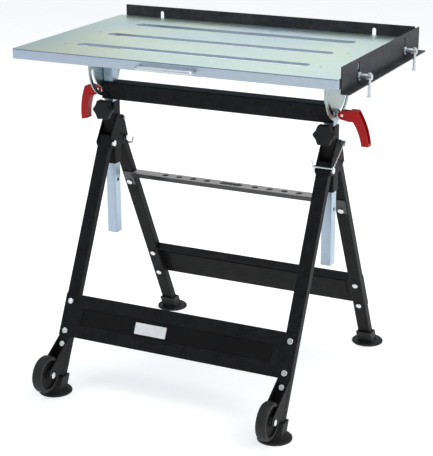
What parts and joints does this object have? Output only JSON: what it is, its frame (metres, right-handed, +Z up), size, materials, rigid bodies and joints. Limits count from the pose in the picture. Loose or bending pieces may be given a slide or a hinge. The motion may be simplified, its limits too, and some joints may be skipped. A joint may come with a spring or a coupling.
{
  "type": "folding work table",
  "caption": "Slotted tilting steel work table with drop-down edge fences on a height-adjustable folding A-frame stand with feet and wheels.",
  "frame": {"origin": "centre of the bounding box's footprint, on the floor under the feet", "axes": "+X to the user's right along the tabletop's long side, +Y away from the user, +Z up"},
  "size_m": [0.792, 0.6958, 0.803],
  "materials": {
    "zinc_sheet": "zinc plated with a faint iridescent sheen",
    "bright_bolt": "bright plated",
    "dark_fence": "satin dark grey powder coat",
    "black_frame": "satin black powder coat",
    "pale_plate": "blank pale plate",
    "tool_rail_coat": "glossy warm grey coat",
    "red_lever": "glossy red coat",
    "knob_plastic": "moulded dark grey plastic",
    "foot_rubber": "moulded black rubber",
    "tyre": "moulded black wheel"
  },
  "bodies": {
    "tower": {"sleeve_left": "black_frame", "sleeve_right": "black_frame", "hinge_plate_outer_left": "black_frame", "hinge_plate_outer_right": "black_frame", "hinge_plate_inner_left": "black_frame", "hinge_plate_inner_right": "black_frame", "front_hinge_bolts": "bright_bolt", "rear_hinge_bolts": "bright_bolt"},
    "front_stand": {"front_leg_left": "black_frame", "front_leg_right": "black_frame", "front_foot_left": "foot_rubber", "front_foot_right": "foot_rubber", "wheel_bracket_left": "black_frame", "wheel_bracket_right": "black_frame", "front_panel": "black_frame", "name_plate": "pale_plate", "front_leg_bolts": "bright_bolt", "wheel_axles": "bright_bolt"},
    "rear_stand": {"rear_leg_left": "black_frame", "rear_leg_right": "black_frame", "rear_foot_left": "foot_rubber", "rear_foot_right": "foot_rubber", "rear_panel": "black_frame", "rear_leg_bolts": "bright_bolt", "tool_rail": "tool_rail_coat"},
    "carriage": {"lift_post_left": "zinc_sheet", "lift_post_right": "zinc_sheet", "cross_beam": "black_frame", "beam_bolts": "black_frame", "tilt_pivot_bolts": "bright_bolt", "clamp_bolts": "bright_bolt", "cam_washers": "bright_bolt", "cam_pins": "bright_bolt"},
    "table": {"tabletop": "zinc_sheet", "table_skirt": "zinc_sheet", "front_handle": "zinc_sheet", "fence_weld_nuts": "bright_bolt", "tilt_bracket_left": "zinc_sheet", "tilt_bracket_right": "zinc_sheet"},
    "side_fence_body": {"side_fence": "dark_fence"},
    "back_fence_body": {"back_fence": "dark_fence"},
    "side_screw_front_body": {"side_screw_front": "zinc_sheet"},
    "side_screw_front_body_bar": {"side_screw_bar_front": "zinc_sheet"},
    "side_screw_rear_body": {"side_screw_rear": "zinc_sheet"},
    "side_screw_rear_body_bar": {"side_screw_bar_rear": "zinc_sheet"},
    "back_screw_left_body": {"back_screw_left": "zinc_sheet"},
    "back_screw_left_body_bar": {"back_screw_bar_left": "zinc_sheet"},
    "back_screw_right_body": {"back_screw_right": "zinc_sheet"},
    "back_screw_right_body_bar": {"back_screw_bar_right": "zinc_sheet"},
    "cam_lever_left_body": {"cam_lever_left": "red_lever"},
    "clamp_knob_left_body": {"clamp_knob_left": "knob_plastic"},
    "lock_pin_left_body": {"lock_pin_left": "bright_bolt"},
    "pin_bail_left_body": {"pin_bail_left": "bright_bolt"},
    "wheel_left_body": {"wheel_left": "tyre"},
    "cam_lever_right_body": {"cam_lever_right": "red_lever"},
    "clamp_knob_right_body": {"clamp_knob_right": "knob_plastic"},
    "lock_pin_right_body": {"lock_pin_right": "bright_bolt"},
    "pin_bail_right_body": {"pin_bail_right": "bright_bolt"},
    "wheel_right_body": {"wheel_right": "tyre"}
  },
  "joints": [
    {"name": "front_stand_fold", "type": "hinge", "parent": "tower", "child": "front_stand", "pos_m": [-0.016, -0.00957, 0.527], "axis": [1, 0, 0], "range_deg": [0, 25]},
    {"name": "rear_stand_fold", "type": "hinge", "parent": "tower", "child": "rear_stand", "pos_m": [-0.016, 0.0517, 0.527], "axis": [-1, 0, 0], "range_deg": [0, 25]},
    {"name": "height_slide", "type": "slide", "parent": "tower", "child": "carriage", "axis": [0, 0, 1], "range_m": [0, 0.147]},
    {"name": "table_tilt", "type": "hinge", "parent": "carriage", "child": "table", "pos_m": [-0.016, 0.02107, 0.704], "axis": [1, 0, 0], "range_deg": [-60, 60]},
    {"name": "side_fence_drop", "type": "slide", "parent": "table", "child": "side_fence_body", "axis": [0, 0, -1], "range_m": [0, 0.024]},
    {"name": "back_fence_drop", "type": "slide", "parent": "table", "child": "back_fence_body", "axis": [0, 0, -1], "range_m": [0, 0.024]},
    {"name": "side_screw_front_turn", "type": "hinge", "parent": "table", "child": "side_screw_front_body", "pos_m": [0.364, -0.11293, 0.764], "axis": [1, 0, 0], "range_deg": [-180, 180]},
    {"name": "side_bar_front_slide", "type": "slide", "parent": "side_screw_front_body", "child": "side_screw_front_body_bar", "axis": [0, 0, 1], "range_m": [0, 0.034]},
    {"name": "side_screw_rear_turn", "type": "hinge", "parent": "table", "child": "side_screw_rear_body", "pos_m": [0.364, 0.17707, 0.764], "axis": [1, 0, 0], "range_deg": [-180, 180]},
    {"name": "side_bar_rear_slide", "type": "slide", "parent": "side_screw_rear_body", "child": "side_screw_rear_body_bar", "axis": [0, 0, 1], "range_m": [0, 0.034]},
    {"name": "back_screw_left_turn", "type": "hinge", "parent": "table", "child": "back_screw_left_body", "pos_m": [-0.28, 0.26057, 0.764], "axis": [0, 1, 0], "range_deg": [-180, 180]},
    {"name": "back_bar_left_slide", "type": "slide", "parent": "back_screw_left_body", "child": "back_screw_left_body_bar", "axis": [0, 0, 1], "range_m": [0, 0.034]},
    {"name": "back_screw_right_turn", "type": "hinge", "parent": "table", "child": "back_screw_right_body", "pos_m": [0.266, 0.26057, 0.764], "axis": [0, 1, 0], "range_deg": [-180, 180]},
    {"name": "back_bar_right_slide", "type": "slide", "parent": "back_screw_right_body", "child": "back_screw_right_body_bar", "axis": [0, 0, 1], "range_m": [0, 0.034]},
    {"name": "cam_lever_left_lift", "type": "hinge", "parent": "carriage", "child": "cam_lever_left_body", "pos_m": [-0.3193, 0.02107, 0.646], "axis": [0, 1, 0], "range_deg": [0, 90]},
    {"name": "clamp_knob_left_turn", "type": "hinge", "parent": "tower", "child": "clamp_knob_left_body", "pos_m": [-0.29, -0.01893, 0.606], "axis": [0, -1, 0], "range_deg": [-180, 180]},
    {"name": "lock_pin_left_pull", "type": "slide", "parent": "tower", "child": "lock_pin_left_body", "axis": [-1, 0, 0], "range_m": [0, 0.05]},
    {"name": "pin_bail_left_swing", "type": "hinge", "parent": "lock_pin_left_body", "child": "pin_bail_left_body", "pos_m": [-0.316, 0.04107, 0.577], "axis": [1, 0, 0], "range_deg": [0, 80]},
    {"name": "wheel_left_spin", "type": "hinge", "parent": "front_stand", "child": "wheel_left_body", "pos_m": [-0.29, -0.30593, 0.057], "axis": [1, 0, 0], "continuous": true},
    {"name": "cam_lever_right_lift", "type": "hinge", "parent": "carriage", "child": "cam_lever_right_body", "pos_m": [0.2873, 0.02107, 0.646], "axis": [0, -1, 0], "range_deg": [0, 90]},
    {"name": "clamp_knob_right_turn", "type": "hinge", "parent": "tower", "child": "clamp_knob_right_body", "pos_m": [0.258, -0.01893, 0.606], "axis": [0, -1, 0], "range_deg": [-180, 180]},
    {"name": "lock_pin_right_pull", "type": "slide", "parent": "tower", "child": "lock_pin_right_body", "axis": [1, 0, 0], "range_m": [0, 0.05]},
    {"name": "pin_bail_right_swing", "type": "hinge", "parent": "lock_pin_right_body", "child": "pin_bail_right_body", "pos_m": [0.284, 0.04107, 0.577], "axis": [-1, 0, 0], "range_deg": [0, 30]},
    {"name": "wheel_right_spin", "type": "hinge", "parent": "front_stand", "child": "wheel_right_body", "pos_m": [0.258, -0.30593, 0.057], "axis": [1, 0, 0], "continuous": true}
  ]
}
